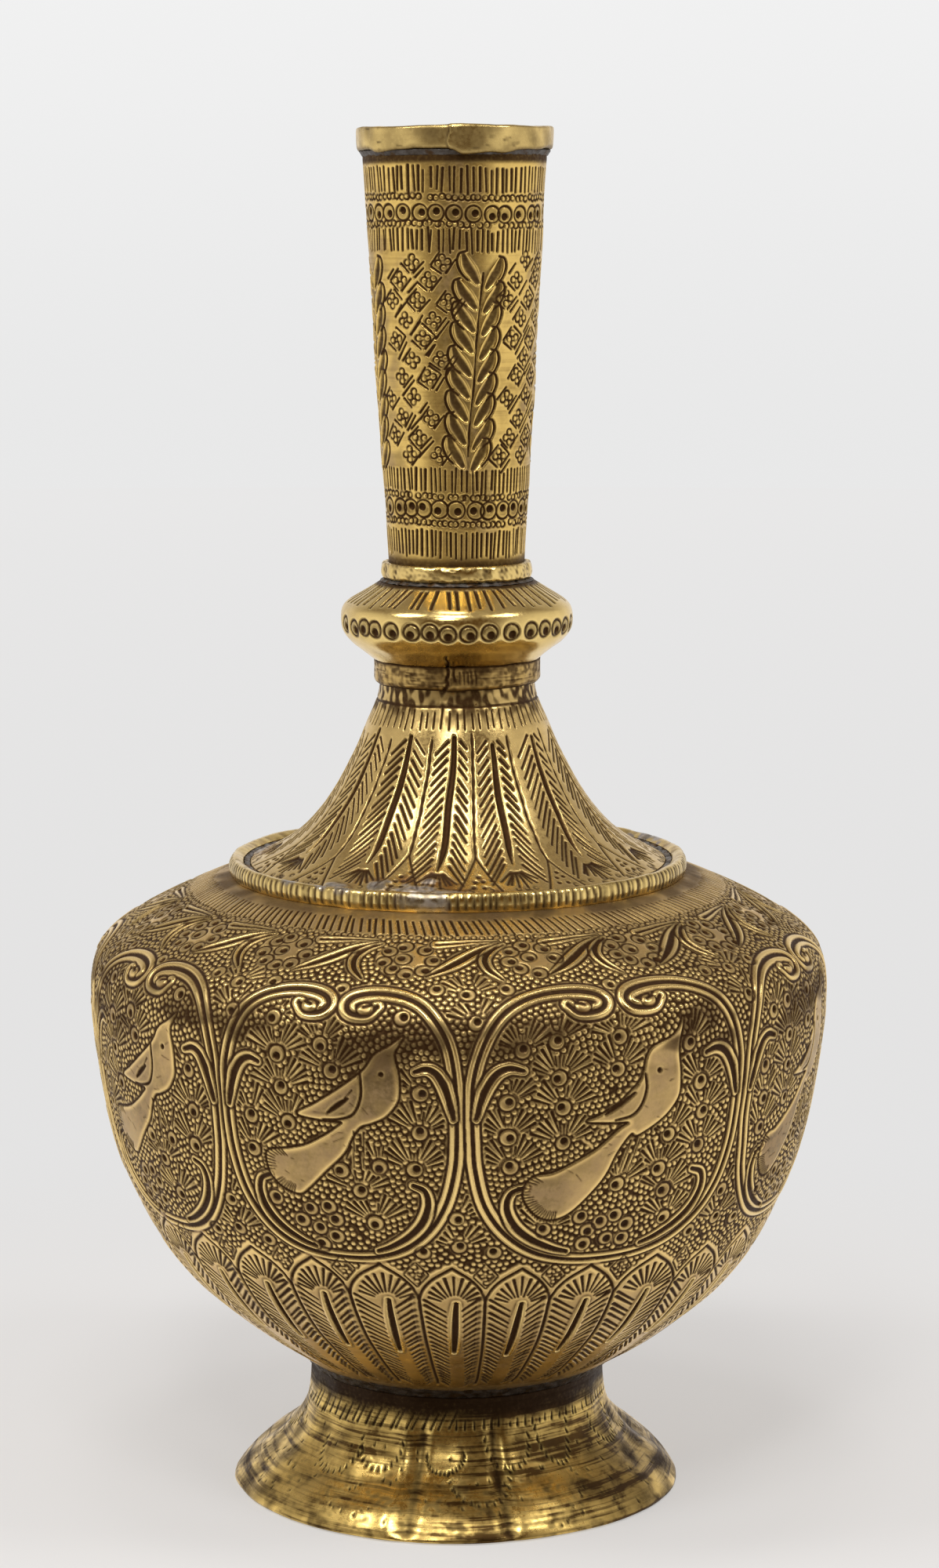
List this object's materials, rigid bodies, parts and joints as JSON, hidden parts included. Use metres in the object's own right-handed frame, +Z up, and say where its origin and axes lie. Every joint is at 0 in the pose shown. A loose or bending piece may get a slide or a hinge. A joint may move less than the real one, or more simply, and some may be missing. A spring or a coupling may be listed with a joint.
{
  "type": "long-necked brass vessel",
  "caption": "Raised sheet vessel with a round body on a flared foot, a bell collar, a knop and a tall tapering neck that ends in a folded rim. Holds and pours water.",
  "frame": {"origin": "centre of the circle that the foot stands on", "axes": "+Z up along the axis of the vessel; -Y is the front of the picture, and +X is to its right"},
  "size_m": [0.163, 0.163, 0.3],
  "materials": {
    "chased_brass": "chased and aged, dark patina in the recesses",
    "neck_brass": "chased and aged, dark patina in the recesses",
    "bell_brass": "chased and aged, polished by handling",
    "foot_brass": "spun and hammered, brushed, mottled tarnish",
    "worn_brass": "rubbed bright, tarnished in the hollows",
    "dull_brass": "tarnished and scratched",
    "solder": "dull grey soft solder, lumpy"
  },
  "bodies": {
    "root": {"foot": "foot_brass", "foot_solder": "solder", "body_lower": "chased_brass", "body_upper": "chased_brass", "shoulder_ring": "worn_brass", "shoulder_solder": "solder", "bell_collar": "bell_brass", "ferrule": "dull_brass", "knop_lower": "worn_brass", "knop_upper": "worn_brass", "neck_bead": "worn_brass", "bead_solder": "solder", "neck_tube": "neck_brass", "rim_band": "worn_brass", "rim_solder": "solder"}
  },
  "joints": []
}
